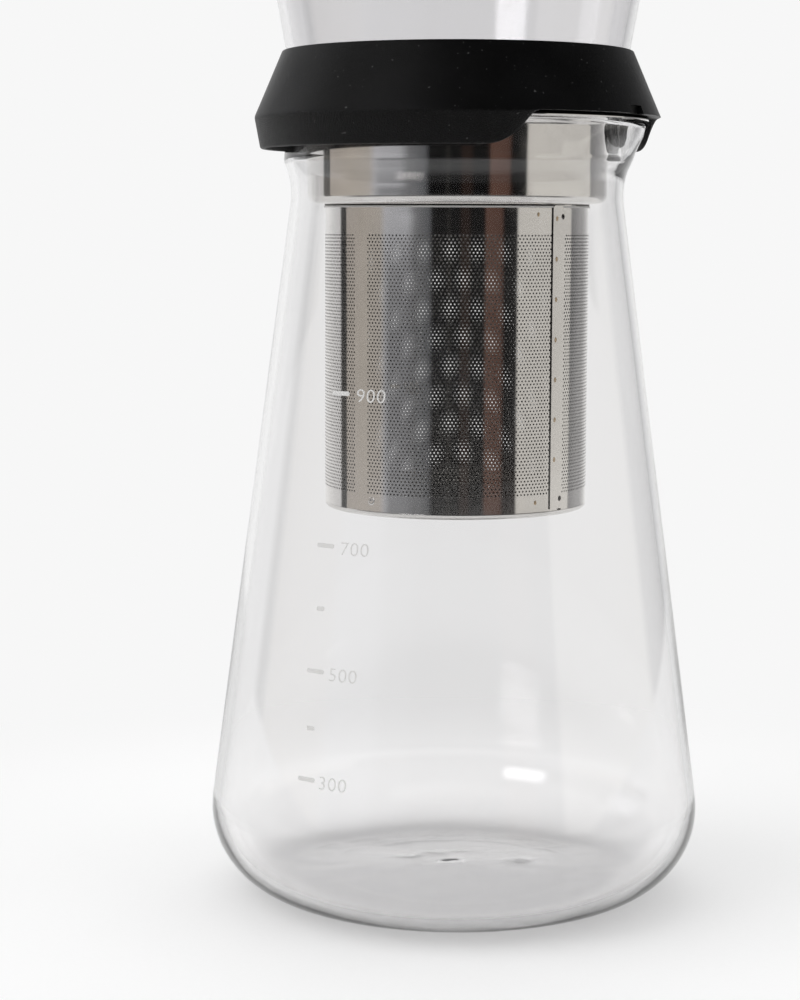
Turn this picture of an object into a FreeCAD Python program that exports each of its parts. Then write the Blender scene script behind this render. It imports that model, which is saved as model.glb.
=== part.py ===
"""Cold drip coffee tower: a glass decanter, a steel strainer hung in its neck, a moulded collar round the
neck, and a glass water bowl with a fixed drip nozzle and a lid.

Frame: millimetres, +Z up, origin on the floor at the centre of the decanter's foot, pouring lip towards +X.
Every solid of revolution is a PartDesign body whose section has named corners bound to the size sheet.
"""
import FreeCAD, Part
import math
import os
import re

import Sketcher
from FreeCAD import Placement, Rotation, Vector

doc = FreeCAD.newDocument("cold_drip_tower")

# ---------------------------------------------------------------- driving dimensions, in millimetres
SIZES = {
    # decanter
    "foot_ring_inner": (30.0, "radius where the pushed-up base starts"),
    "base_push_up": (1.6, "height of the pushed-up base at its centre"),
    "base_glass": (2.6, "thickness of the base"),
    "wall": (1.9, "thickness of the blown glass walls"),
    "base_corner": (20.0, "outer radius of the corner between foot and side"),
    "side_at_floor": (60.14, "radius at which the side cone meets the floor plane"),
    "side_taper": (0.135, "radius lost for each millimetre of height"),
    "waist_z": (164.6, "height where side cone and neck flare meet"),
    "waist_round": (17.0, "radius that blends side and flare"),
    "bulge_r": (40.0, "radius of the bulge under the rim, before it is rounded"),
    "bulge_z": (170.8, "height of the bulge"),
    "bulge_round": (4.0, "rounding of the bulge"),
    "rim_r": (38.9, "outer radius of the rim"),
    "rim_z": (179.4, "height of the rim"),
    "rim_glass": (2.1, "thickness of the rim"),
    "rim_round": (0.9, "rounding of glass rims"),
    "lip_start_z": (165.0, "height where the pouring lip starts to leave the neck"),
    "lip_reach": (6.9, "how far the tip of the lip stands out of the rim"),
    "lip_fade": (32.0, "degrees each side over which the lip fades"),
    "lip_drop": (7.5, "degrees by which the lip's edge runs down"),
    # strainer
    "sheet": (0.5, "thickness of the strainer's steel sheet"),
    "cup_r": (34.6, "outer radius of the strainer's upper ring"),
    "cup_z": (160.6, "underside of the upper ring"),
    "cup_round": (2.2, "rounding of the upper ring's lower corner"),
    "flare_round": (2.0, "rounding between upper ring and flange"),
    "flange_r": (43.9, "outer radius of the flange"),
    "flange_z": (179.55, "underside of the flange"),
    "sleeve_r": (30.45, "outer radius of the perforated sleeve"),
    "sleeve_sheet": (0.45, "thickness of the perforated sleeve"),
    "spigot_z": (156.0, "lower edge of the ring's spigot inside the sleeve"),
    "strainer_z": (91.0, "underside of the strainer"),
    "bead_rise": (1.25, "height of the bottom dish's rounded edge below the sleeve"),
    "bead_round": (1.1, "rounding of that edge"),
    "dish_rise": (5.2, "height of the bottom dish's wall"),
    "dish_floor_r": (26.0, "radius of the raised floor of the bottom dish"),
    "dish_floor_rise": (0.7, "how far that floor is raised"),
    "lap_angle": (-18.2, "direction, in degrees, of the sleeve's free edge"),
    "lap_width": (22.0, "degrees over which the overlap runs out"),
    "lap_inset": (1.0, "how far the overlap stops short of the sleeve's ends"),
    "lap_corner": (1.6, "rounding of the overlap's two free corners"),
    "pilot_r": (0.55, "radius of the two pilot holes in the overlap"),
    "weld_r": (0.5, "radius of a seam weld's dimple"),
    "weld_depth": (0.08, "depth of a weld's dimple"),
    # collar
    "band_bore": (44.2, "inner radius of the band"),
    "band_r": (45.3, "outer radius of the band at its lower edge"),
    "band_z": (173.3, "lower edge of the band"),
    "band_round": (0.6, "rounding of the band's lower edge"),
    "crease_r": (46.55, "largest radius of the collar"),
    "crease_z": (180.05, "height of the crease between band and cone"),
    "crease_land": (0.6, "height of the upright land at the crease"),
    "crown_r": (40.3, "outer radius of the collar's top edge"),
    "crown_z": (194.95, "height of the collar's top edge"),
    "crown_round": (0.5, "rounding of the collar's top edge"),
    "crown_bore": (39.5, "radius of the opening round the bowl"),
    "crown_land": (2.5, "height of that opening's upright wall"),
    "shoulder_r": (43.9, "inner radius of the cone above the ledge"),
    "ledge_r": (34.4, "inner radius of the ledge under the bowl"),
    "ledge_z": (180.6, "underside of the ledge, and top of the window over the lip"),
    "ledge_rise": (2.0, "thickness of the ledge"),
    "seat_width": (0.9, "width of the sloped seat on the ledge's edge"),
    "seat_drop": (1.15, "height of the sloped seat"),
    "bearer_r": (38.0, "inner radius of the bearing ring under the ledge"),
    "bearer_width": (2.0, "width of the bearing ring"),
    "bearer_gap": (0.1, "play between bearing ring and flange"),
    "window_top": (30.8, "half width of the window at its top"),
    "window_foot": (34.3, "half width of the window at the band's lower edge"),
    "window_round": (1.6, "rounding of the window's upper corners"),
    "window_sweep": (3.4, "rounding between the window's ends and the band's lower edge"),
    "notch_width": (5.3, "width of the locating notch over the lip"),
    "notch_rise": (1.8, "height of the locating notch"),
    "notch_x": (44.9, "distance of the notch's floor from the axis"),
    # bowl
    "bowl_z": (175.25, "underside of the bowl"),
    "bowl_foot_r": (35.72, "radius at which the bowl's wall meets its underside"),
    "bowl_taper": (0.18, "radius gained for each millimetre of height"),
    "bowl_corner": (18.0, "outer radius of the bowl's lower corner"),
    "bowl_base": (2.0, "thickness of the bowl's base"),
    "bowl_top": (292.5, "height of the bowl's rim"),
    "drip_hole": (5.0, "radius of the hole in the bowl's base"),
    # nozzle and seal
    "seal_flange": (7.8, "radius of the seal's flanges"),
    "seal_lip": (1.5, "thickness of the seal's flanges"),
    "seal_round": (0.5, "rounding of the seal's flanges"),
    "stem_r": (3.2, "radius of the nozzle's stem"),
    "stem_z": (171.9, "height where the stem starts to taper"),
    "head_r": (5.6, "radius of the nozzle's head"),
    "head_rise": (1.6, "height of the nozzle's head"),
    "tip_r": (1.3, "radius of the nozzle's tip"),
    "tip_z": (166.7, "height of the nozzle's tip"),
    "feed_r": (1.5, "radius of the feed bore"),
    "orifice_r": (0.35, "radius of the drip orifice"),
    "orifice_rise": (2.2, "length of the drip orifice"),
    # lid
    "lid_z": (287.0, "lower edge of the lid"),
    "lid_r": (59.0, "outer radius of the lid's lower edge"),
    "lid_top": (296.5, "height of the lid's raised rim"),
    "lid_top_r": (58.6, "outer radius of the lid at its rim"),
    "lid_wall": (1.5, "thickness of the lid's skirt"),
    "lid_plate": (2.0, "thickness of the lid's plate"),
    "lid_rim": (5.0, "width of the raised rim round the dished top"),
    "lid_round": (1.2, "rounding of the lid's upper edge"),
    "lid_gap": (0.1, "play between lid and bowl rim"),
    "lid_ring_r": (53.2, "outer radius of the locating ring"),
    "lid_ring_wall": (1.6, "thickness of the locating ring"),
    "lid_ring_z": (286.0, "lower edge of the locating ring"),
    "vent_r": (1.5, "radius of the air vent"),
    "vent_x": (34.0, "distance of the air vent from the axis"),
}

LIP_SECTIONS = 9
LIP_POINTS = 72
LIP_EMBED = 0.25
OVERCUT = 3.0
WINDOW_ROUNDED = ((0, "window_round"), (7, "window_round"), (1, "window_sweep"), (6, "window_sweep"))
SEAM_WELDS = 7
SEAM_WELD_TOP = 157.3
SEAM_WELD_PITCH = 8.93
SEAM_WELD_OFFSET = 2.4
PILOT_OFFSET = 6.5
PILOT_HEIGHTS = (157.9, 94.9)
RING_WELD_ANGLES = (-24, -99, -174, 111, 36)
RING_WELD_HEIGHTS = (158.5, 94.3)
RING_WELD_R = 0.9

sheet = doc.addObject("Spreadsheet::Sheet", "Sizes")
for row, (alias, (value, meaning)) in enumerate(SIZES.items(), start=1):
    sheet.set(f"A{row}", meaning)
    sheet.set(f"B{row}", str(value))
    sheet.setAlias(f"B{row}", alias)
doc.recompute()


# ---------------------------------------------------------------- helpers
def size(alias):
    """The number that the sheet holds under an alias."""
    return float(sheet.get(alias))


def bound(formula):
    """A formula in the sheet's aliases, as an expression that FreeCAD can follow."""
    return re.sub(r"[a-z_]{4,}", lambda word: "Sizes." + word[0], formula)


def origin_plane(body, role):
    """One of the body's own origin planes, such as XZ_Plane."""
    return next(f for f in body.Origin.OriginFeatures if f.Role == role)


def new_body(name):
    """An empty body whose label names the sub-part."""
    body = doc.addObject("PartDesign::Body", name + "_body")
    body.Label = name
    return body


def new_sketch(body, name, role):
    """An empty sketch on one of the body's own origin planes."""
    sketch = body.newObject("Sketcher::SketchObject", name)
    sketch.AttachmentSupport = (origin_plane(body, role), "")
    sketch.MapMode = "FlatFace"
    return sketch


def pin_corner(sketch, index, formulas):
    """Places the start of one edge by two formulas; a formula of "0" puts it on the sketch's axis."""
    for kind, formula, axis in zip(("DistanceX", "DistanceY"), formulas, (-2, -1)):
        if formula == "0":
            sketch.addConstraint(Sketcher.Constraint("PointOnObject", index, 1, axis))
            continue
        number = sketch.addConstraint(Sketcher.Constraint(kind, -1, 1, index, 1, 10.0))
        sketch.setExpression(f"Constraints[{number}]", bound(formula))


def outline(body, name, corners, role="XZ_Plane"):
    """A closed sketch of straight edges through named corners, each given by two formulas."""
    sketch = new_sketch(body, name, role)
    count = len(corners)
    turn = 2 * math.pi / count
    start = [Vector(50 + 20 * math.cos(turn * i), 20 * math.sin(turn * i), 0) for i in range(count)]
    for i in range(count):
        sketch.addGeometry(Part.LineSegment(start[i], start[(i + 1) % count]), False)
    for i in range(count):
        sketch.addConstraint(Sketcher.Constraint("Coincident", i, 2, (i + 1) % count, 1))
    for i, formulas in enumerate(corners.values()):
        pin_corner(sketch, i, formulas)
    doc.recompute()
    return sketch


def round_edges(body, name, edges, radius):
    """A fillet on the body's tip, with its radius bound to a formula."""
    base = body.Tip
    fillet = body.newObject("PartDesign::Fillet", name)
    fillet.Base = (base, edges)
    fillet.setExpression("Radius", bound(radius))
    doc.recompute()
    return fillet


def circles_at(shape, radius, height, slack=0.02):
    """The names of the shape's round edges about Z with that radius and height."""
    found = []
    for i, edge in enumerate(shape.Edges, start=1):
        curve = edge.Curve
        if not isinstance(curve, Part.Circle):
            continue
        centred = math.hypot(curve.Center.x, curve.Center.y) < slack
        if centred and abs(curve.Center.z - height) < slack and abs(curve.Radius - radius) < slack:
            found.append(f"Edge{i}")
    return found


def turned_body(name, corners, rounds=()):
    """A body turned from named corners, with some of the turned corners rounded. rounds is a list of a
    radius formula and the corners that it rounds."""
    body = new_body(name)
    sketch = outline(body, name + "_section", corners)
    turned = body.newObject("PartDesign::Revolution", name + "_turned")
    turned.Profile = sketch
    turned.ReferenceAxis = (sketch, ["V_Axis"])
    turned.Angle = 360
    doc.recompute()
    order = list(corners)
    for radius, names in rounds:
        edges = []
        for corner in names:
            point = sketch.getPoint(order.index(corner), 1)
            found = circles_at(body.Tip.Shape, point.x, point.y)
            if not found:
                raise RuntimeError(f"{name} has no edge at corner {corner}")
            edges += found
        round_edges(body, f"{name}_{names[0]}_round", edges, radius)
    return body


def cut_body(body, sketch, name, depth=None):
    """A pocket along the sketch's normal, away from the origin. It has to take some volume away."""
    before = body.Tip.Shape.Volume
    pocket = body.newObject("PartDesign::Pocket", name)
    pocket.Profile = sketch
    pocket.Type = "Length" if depth else "ThroughAll"
    if depth:
        pocket.setExpression("Length", bound(depth))
    pocket.Reversed = True
    doc.recompute()
    if pocket.Shape.Volume > before - 0.01:
        raise RuntimeError(f"{name} cut nothing")
    return pocket


def feature(name, shape):
    """A plain feature that holds a shape worked out here."""
    made = doc.addObject("Part::Feature", name)
    made.Shape = shape
    return made


def boolean(kind, name, base, tools):
    """A Part::Cut or Part::MultiFuse of document objects."""
    made = doc.addObject(kind, name)
    if kind == "Part::MultiFuse":
        made.Shapes = [base] + tools
    else:
        made.Base = base
        made.Tool = boolean("Part::MultiFuse", name + "_tools", tools[0], tools[1:])
    doc.recompute()
    return made


def radial(radius, angle, height):
    """A point at a radius, a direction in degrees and a height."""
    turn = math.radians(angle)
    return Vector(radius * math.cos(turn), radius * math.sin(turn), height)


def direction(point):
    """The direction of a point about the axis, in degrees."""
    return math.degrees(math.atan2(point.y, point.x))


# ---------------------------------------------------------------- decanter
def neck_radius(height):
    """Outer radius of the plain neck, on the straight edges between waist, bulge and rim."""
    waist_r = size("side_at_floor") - size("side_taper") * size("waist_z")
    corners = [
        (0.0, size("side_at_floor")),
        (size("waist_z"), waist_r),
        (size("bulge_z"), size("bulge_r")),
        (size("rim_z"), size("rim_r")),
    ]
    for (low, low_r), (high, high_r) in zip(corners, corners[1:]):
        if height <= high:
            return low_r + (high_r - low_r) * (height - low) / (high - low)
    return size("rim_r")


def lip_stand(height):
    """How far the lip stands out at a height: it starts and ends its growth smoothly."""
    share = (height - size("lip_start_z")) / (size("rim_z") - size("lip_start_z"))
    share = min(1.0, max(0.0, share))
    return size("lip_reach") * share * share * (3 - 2 * share)


def lip_share(angle):
    """How much of the lip's stand is left at a direction, in degrees from its middle."""
    away = abs(angle) / size("lip_fade")
    return math.cos(math.radians(90 * away)) ** 2 if away < 1 else 0.0


def lip_form(name, inset, top):
    """A solid of the neck with its lip, a little inside the plain neck except where the lip leaves it."""
    wires = []
    low = size("lip_start_z")
    for level in range(LIP_SECTIONS):
        height = low + (top - low) * level / (LIP_SECTIONS - 1)
        plain = neck_radius(height) - inset - LIP_EMBED
        stand = lip_stand(height) + LIP_EMBED
        points = []
        for step in range(LIP_POINTS):
            angle = 360.0 * step / LIP_POINTS - 180.0
            points.append(radial(plain + stand * lip_share(angle), angle, height))
        curve = Part.BSplineCurve()
        curve.interpolate(Points=points, PeriodicFlag=True)
        wires.append(Part.Wire([curve.toShape()]))
    return feature(name, Part.makeLoft(wires, True, False))


def make_decanter():
    """Blown glass: the outer form with its lip, minus the inner form with the same lip."""
    outside = turned_body("decanter_outside", {
        "punt": ("0", "base_push_up"),
        "foot": ("foot_ring_inner", "0"),
        "corner": ("side_at_floor", "0"),
        "waist": ("side_at_floor - side_taper * waist_z", "waist_z"),
        "bulge": ("bulge_r", "bulge_z"),
        "rim": ("rim_r", "rim_z"),
        "rim_centre": ("0", "rim_z"),
    }, [("base_corner", ["corner"]), ("waist_round", ["waist"]), ("bulge_round", ["bulge"])])
    inside = turned_body("decanter_inside", {
        "punt": ("0", "base_push_up + base_glass"),
        "foot": ("foot_ring_inner", "base_glass"),
        "corner": ("side_at_floor - wall - side_taper * base_glass", "base_glass"),
        "waist": ("side_at_floor - side_taper * waist_z - wall", "waist_z"),
        "bulge": ("bulge_r - wall", "bulge_z"),
        "rim": ("rim_r - rim_glass", "rim_z"),
        "mouth": ("rim_r - rim_glass", f"rim_z + {OVERCUT}"),
        "mouth_centre": ("0", f"rim_z + {OVERCUT}"),
    }, [("base_corner - wall", ["corner"]), ("waist_round + wall", ["waist"]),
        ("bulge_round - wall", ["bulge"])])
    lip_outside = lip_form("lip_outside", 0, size("rim_z"))
    lip_inside = lip_form("lip_inside", size("wall"), size("rim_z") + OVERCUT)
    trim = doc.addObject("Part::Box", "lip_trim")
    trim.setExpression("Length", bound("lip_reach + wall"))
    trim.setExpression("Width", bound("rim_r * 2"))
    trim.setExpression("Height", bound("lip_reach"))
    start = Vector(size("rim_r"), -size("rim_r"), size("rim_z"))
    trim.Placement = Placement(start, Rotation(Vector(0, 1, 0), size("lip_drop")))
    blown = boolean("Part::MultiFuse", "decanter_blown", outside, [lip_outside])
    made = boolean("Part::Cut", "decanter_glass", blown, [inside, lip_inside, trim])
    made.Label = "decanter"
    return made


# ---------------------------------------------------------------- strainer
def make_strainer_rim():
    """The drawn steel ring: spigot, upper ring, flare and flange in one sheet."""
    return turned_body("strainer_rim", {
        "spigot": ("sleeve_r - sleeve_sheet", "spigot_z"),
        "shelf": ("sleeve_r - sleeve_sheet", "cup_z"),
        "cup": ("cup_r", "cup_z"),
        "flare": ("cup_r", "flange_z"),
        "flange": ("flange_r", "flange_z"),
        "flange_top": ("flange_r", "flange_z + sheet"),
        "flare_top": ("cup_r - sheet", "flange_z + sheet"),
        "cup_top": ("cup_r - sheet", "cup_z + sheet"),
        "shelf_top": ("sleeve_r - sleeve_sheet - sheet", "cup_z + sheet"),
        "spigot_inner": ("sleeve_r - sleeve_sheet - sheet", "spigot_z"),
    }, [("cup_round", ["cup"]), ("flare_round", ["flare"]),
        ("flare_round + sheet", ["flare_top"]), ("cup_round - sheet", ["cup_top"])])


def make_lap():
    """The outer layer of the sleeve's overlap: full thickness at its free edge, run out at the other end."""
    start = size("lap_angle")
    middle = start + size("lap_width") / 2
    end = start + size("lap_width")
    low = size("strainer_z") + size("bead_rise") + size("lap_inset")
    rise = size("cup_z") - size("lap_inset") - low
    root = size("sleeve_r") - 0.1
    proud = size("sleeve_r") + size("sleeve_sheet")
    foot, edge, tail = radial(root, start, low), radial(proud, start, low), radial(root, end, low)
    edges = [
        Part.LineSegment(foot, edge).toShape(),
        Part.Arc(edge, radial((proud + root) / 2, middle, low), tail).toShape(),
        Part.Arc(tail, radial(root, middle, low), foot).toShape(),
    ]
    lap = Part.Face(Part.Wire(edges)).extrude(Vector(0, 0, rise))
    corners = [e for e in lap.Edges if e.Length < 1 and abs(direction(e.CenterOfMass) - start) < 0.1]
    return feature("sleeve_lap", lap.makeFillet(size("lap_corner"), corners))


def drill(name, radius, depth_from, depth_to, angle, height):
    """A radial cylinder between two distances from the axis, as a cutting tool."""
    start = radial(depth_from, angle, height)
    return feature(name, Part.makeCylinder(radius, depth_to - depth_from, start, radial(1, angle, 0)))


def make_strainer_sleeve():
    """The rolled sleeve with its lapped seam, two pilot holes and the dimples of its spot welds."""
    tube = turned_body("sleeve_tube", {
        "foot_outer": ("sleeve_r", "strainer_z + bead_rise"),
        "head_outer": ("sleeve_r", "cup_z"),
        "head_inner": ("sleeve_r - sleeve_sheet", "cup_z"),
        "foot_inner": ("sleeve_r - sleeve_sheet", "strainer_z + bead_rise"),
    })
    rolled = boolean("Part::MultiFuse", "sleeve_rolled", tube, [make_lap()])
    near = size("sleeve_r")
    seam = size("lap_angle") + SEAM_WELD_OFFSET
    lap_face = near + size("sleeve_sheet") * (1 - SEAM_WELD_OFFSET / size("lap_width"))
    pilot = size("lap_angle") + PILOT_OFFSET
    depth = size("weld_depth")
    tools = []
    for i, height in enumerate(PILOT_HEIGHTS):
        tools.append(drill(f"pilot_{i}", size("pilot_r"), near - 1, near + 1, pilot, height))
    for i in range(SEAM_WELDS):
        height = SEAM_WELD_TOP - SEAM_WELD_PITCH * i
        tools.append(drill(f"seam_weld_{i}", size("weld_r"), lap_face - depth, near + 1, seam, height))
    for height in RING_WELD_HEIGHTS:
        for angle in RING_WELD_ANGLES:
            name = f"ring_weld_{int(height)}_{angle % 360}"
            tools.append(drill(name, RING_WELD_R, near - depth, near + 1, angle, height))
    made = boolean("Part::Cut", "sleeve_finished", rolled, tools)
    made.Label = "strainer_sleeve"
    return made


def make_strainer_base():
    """The pressed dish that closes the sleeve: a rounded edge below it and a wall inside it."""
    return turned_body("strainer_base", {
        "floor_centre": ("0", "strainer_z + dish_floor_rise"),
        "floor_edge": ("dish_floor_r", "strainer_z + dish_floor_rise"),
        "floor_foot": ("dish_floor_r + dish_floor_rise", "strainer_z"),
        "bead": ("sleeve_r", "strainer_z"),
        "bead_top": ("sleeve_r", "strainer_z + bead_rise"),
        "wall_foot": ("sleeve_r - sleeve_sheet", "strainer_z + bead_rise"),
        "wall_top": ("sleeve_r - sleeve_sheet", "strainer_z + dish_rise"),
        "wall_inner_top": ("sleeve_r - sleeve_sheet - sheet", "strainer_z + dish_rise"),
        "wall_inner_foot": ("sleeve_r - sleeve_sheet - sheet", "strainer_z + sheet"),
        "floor_foot_top": ("dish_floor_r + dish_floor_rise", "strainer_z + sheet"),
        "floor_edge_top": ("dish_floor_r", "strainer_z + dish_floor_rise + sheet"),
        "floor_centre_top": ("0", "strainer_z + dish_floor_rise + sheet"),
    }, [("bead_round", ["bead"])])


# ---------------------------------------------------------------- collar
def make_collar():
    """The moulded collar: a band round the neck, a cone up to the bowl, and a ledge that carries the bowl."""
    body = turned_body("collar", {
        "band_inner": ("band_bore", "band_z"),
        "band_outer": ("band_r", "band_z"),
        "crease": ("crease_r", "crease_z"),
        "land": ("crease_r", "crease_z + crease_land"),
        "crown": ("crown_r", "crown_z"),
        "crown_inner": ("crown_bore", "crown_z"),
        "crown_foot": ("crown_bore", "crown_z - crown_land"),
        "shoulder": ("shoulder_r", "ledge_z + ledge_rise"),
        "seat_top": ("ledge_r + seat_width", "ledge_z + ledge_rise"),
        "seat_foot": ("ledge_r", "ledge_z + ledge_rise - seat_drop"),
        "ledge_edge": ("ledge_r", "ledge_z"),
        "bearer_inner": ("bearer_r", "ledge_z"),
        "bearer_foot": ("bearer_r", "flange_z + sheet + bearer_gap"),
        "bearer_toe": ("bearer_r + bearer_width", "flange_z + sheet + bearer_gap"),
        "bearer_outer": ("bearer_r + bearer_width", "ledge_z"),
        "ledge_root": ("band_bore", "ledge_z"),
    }, [("crown_round", ["crown"]), ("band_round", ["band_outer"])])
    window = outline(body, "window_outline", {
        "top_left": ("-window_top", "ledge_z"),
        "top_right": ("window_top", "ledge_z"),
        "foot_right": ("window_foot", "band_z"),
        "side_right": (f"window_foot + {OVERCUT}", "band_z"),
        "out_right": (f"window_foot + {OVERCUT}", f"band_z - {OVERCUT}"),
        "out_left": (f"-window_foot - {OVERCUT}", f"band_z - {OVERCUT}"),
        "side_left": (f"-window_foot - {OVERCUT}", "band_z"),
        "foot_left": ("-window_foot", "band_z"),
    }, "YZ_Plane")
    for before_corner, rounding in WINDOW_ROUNDED:
        window.fillet(before_corner, 2, size(rounding), True, True)
    doc.recompute()
    cut_body(body, window, "window")
    notch = outline(body, "notch_outline", {
        "low_left": ("-notch_width / 2", "ledge_z"),
        "low_right": ("notch_width / 2", "ledge_z"),
        "high_right": ("notch_width / 2", "ledge_z + notch_rise"),
        "high_left": ("-notch_width / 2", "ledge_z + notch_rise"),
    }, "YZ_Plane")
    notch.setExpression("AttachmentOffset.Base.z", bound("notch_x"))
    cut_body(body, notch, "notch", "crease_r")
    return body


# ---------------------------------------------------------------- bowl, nozzle and lid
def make_bowl():
    """The blown glass water bowl, open at the top and drilled in its base."""
    side = "bowl_foot_r + bowl_taper * "
    return turned_body("bowl", {
        "hole_foot": ("drip_hole", "bowl_z"),
        "foot": ("bowl_foot_r", "bowl_z"),
        "rim_outer": (side + "(bowl_top - bowl_z)", "bowl_top"),
        "rim_inner": (side + "(bowl_top - bowl_z) - wall", "bowl_top"),
        "foot_inner": (side + "bowl_base - wall", "bowl_z + bowl_base"),
        "hole_top": ("drip_hole", "bowl_z + bowl_base"),
    }, [("bowl_corner", ["foot"]), ("bowl_corner - wall", ["foot_inner"]),
        ("rim_round", ["rim_outer", "rim_inner"])])


def make_nozzle_seal():
    """The soft grommet that holds the nozzle in the bowl's base."""
    under = "bowl_z - seal_lip"
    over = "bowl_z + bowl_base + seal_lip"
    return turned_body("nozzle_seal", {
        "bore_foot": ("stem_r", under),
        "flange_foot": ("seal_flange", under),
        "flange_under": ("seal_flange", "bowl_z"),
        "waist_foot": ("drip_hole", "bowl_z"),
        "waist_top": ("drip_hole", "bowl_z + bowl_base"),
        "flange_over": ("seal_flange", "bowl_z + bowl_base"),
        "flange_top": ("seal_flange", over),
        "bore_top": ("stem_r", over),
    }, [("seal_round", ["flange_foot", "flange_top"])])


def make_drip_nozzle():
    """The fixed nozzle: a head on the seal, a stem through it, and a fine orifice at the tip."""
    shoulder = "bowl_z + bowl_base + seal_lip"
    return turned_body("drip_nozzle", {
        "feed_top": ("feed_r", shoulder + " + head_rise"),
        "feed_foot": ("feed_r", "tip_z + orifice_rise"),
        "orifice_top": ("orifice_r", "tip_z + orifice_rise"),
        "orifice_foot": ("orifice_r", "tip_z"),
        "tip": ("tip_r", "tip_z"),
        "stem_foot": ("stem_r", "stem_z"),
        "stem_top": ("stem_r", shoulder),
        "head_under": ("head_r", shoulder),
        "head_top": ("head_r", shoulder + " + head_rise"),
    }, [("seal_round", ["head_top"])])


def make_lid():
    """The moulded lid: a skirt outside the bowl's rim, a locating ring inside it, and an air vent."""
    under = "bowl_top + lid_gap"
    body = turned_body("lid", {
        "centre": ("0", under + " + lid_plate"),
        "centre_under": ("0", under),
        "ring_inner_root": ("lid_ring_r - lid_ring_wall", under),
        "ring_inner": ("lid_ring_r - lid_ring_wall", "lid_ring_z"),
        "ring_outer": ("lid_ring_r", "lid_ring_z"),
        "ring_outer_root": ("lid_ring_r", under),
        "skirt_inner_root": ("lid_top_r - lid_wall", under),
        "skirt_inner": ("lid_r - lid_wall", "lid_z"),
        "skirt_outer": ("lid_r", "lid_z"),
        "edge": ("lid_top_r", "lid_top"),
        "rim_inner": ("lid_top_r - lid_rim", "lid_top"),
        "dish_edge": ("lid_top_r - lid_rim - 2", under + " + lid_plate"),
    }, [("lid_round", ["edge"])])
    vent = new_sketch(body, "vent_outline", "XY_Plane")
    vent.addGeometry(Part.Circle(Vector(30, 0, 0), Vector(0, 0, 1), 2), False)
    vent.addConstraint(Sketcher.Constraint("PointOnObject", 0, 3, -1))
    away = vent.addConstraint(Sketcher.Constraint("DistanceX", -1, 1, 0, 3, 30))
    vent.setExpression(f"Constraints[{away}]", bound("vent_x"))
    across = vent.addConstraint(Sketcher.Constraint("Radius", 0, 2))
    vent.setExpression(f"Constraints[{across}]", bound("vent_r"))
    cut_body(body, vent, "vent")
    return body


# ---------------------------------------------------------------- build, check and write
SUB_PARTS = [
    make_decanter(), make_strainer_rim(), make_strainer_sleeve(), make_strainer_base(), make_collar(),
    make_bowl(), make_nozzle_seal(), make_drip_nozzle(), make_lid(),
]
doc.recompute()
for item in doc.Objects:
    if {"Invalid", "Error"} & set(item.State):
        raise RuntimeError(f"{item.Name} failed: {item.State}")

os.makedirs("parts", exist_ok=True)
for part in SUB_PARTS:
    shape = part.Shape
    if shape.isNull() or not shape.isValid() or len(shape.Solids) != 1:
        raise RuntimeError(f"{part.Label} is not one valid solid")
    shape.exportStep(f"parts/{part.Label}.step")
    box = shape.optimalBoundingBox(False)
    volume = shape.Volume / 1000
    print(f"{part.Label:16s} {volume:8.2f} cm3  r {box.XMax:6.2f}  z {box.ZMin:7.2f} to {box.ZMax:7.2f}")
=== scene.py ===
# %% [markdown]
# # A cold drip coffee tower
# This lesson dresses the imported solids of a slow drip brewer: a blown glass decanter with a pouring lip, a
# perforated steel strainer hung in its neck, a black moulded collar and a glass water bowl under a lid.
# The solids already stand in their right place, in metres, with the origin on the floor at the centre of the
# decanter's foot and the lip towards +X. Every new piece is therefore drawn at its own size and place.

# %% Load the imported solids
import bpy
import math
import numpy as np
from mathutils import Matrix, Vector, noise


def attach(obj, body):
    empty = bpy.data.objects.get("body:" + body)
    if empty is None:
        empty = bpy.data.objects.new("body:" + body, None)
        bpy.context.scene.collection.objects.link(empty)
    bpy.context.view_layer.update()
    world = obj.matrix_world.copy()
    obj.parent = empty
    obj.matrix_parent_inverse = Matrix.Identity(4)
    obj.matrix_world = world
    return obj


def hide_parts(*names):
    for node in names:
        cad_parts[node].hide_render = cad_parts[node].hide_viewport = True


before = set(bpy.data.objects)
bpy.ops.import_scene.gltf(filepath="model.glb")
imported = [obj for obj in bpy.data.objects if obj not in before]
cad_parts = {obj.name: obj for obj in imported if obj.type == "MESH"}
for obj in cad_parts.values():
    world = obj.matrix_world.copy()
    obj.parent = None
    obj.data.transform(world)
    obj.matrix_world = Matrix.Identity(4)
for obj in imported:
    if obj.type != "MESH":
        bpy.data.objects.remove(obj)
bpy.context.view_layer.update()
MM = 0.001

# %% [markdown]
# ## Small helpers for working as if by hand
# Operators act on everything that is selected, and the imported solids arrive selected. So each new primitive
# is added after everything has been let go. In edit mode, vertices are picked by a test on their place,
# because a script has no mouse to click with.

# %% Helpers: hold, edit, settle and pick
def done():
    """Leave edit mode."""
    bpy.ops.object.mode_set(mode="OBJECT")


def let_go():
    """Leave edit mode and select nothing."""
    if bpy.context.object and bpy.context.object.mode != "OBJECT":
        done()
    bpy.ops.object.select_all(action="DESELECT")


def hold(piece):
    """Make a piece the only selected object."""
    let_go()
    piece.select_set(True)
    bpy.context.view_layer.objects.active = piece


def edit():
    """Edit the held piece with everything in it selected."""
    bpy.ops.object.mode_set(mode="EDIT")
    bpy.ops.mesh.select_all(action="SELECT")


def settle(name=None, scale=(1, 1, 1)):
    """Name and scale the new primitive, and move its place and turn into its mesh."""
    piece = bpy.context.object
    piece.scale = scale
    if name:
        piece.name = piece.data.name = name
    bpy.ops.object.transform_apply(location=True, rotation=True, scale=True)
    return piece


def twin(piece):
    """A copy of a piece with its own mesh."""
    other = piece.copy()
    other.data = piece.data.copy()
    bpy.context.collection.objects.link(other)
    return other


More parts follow.
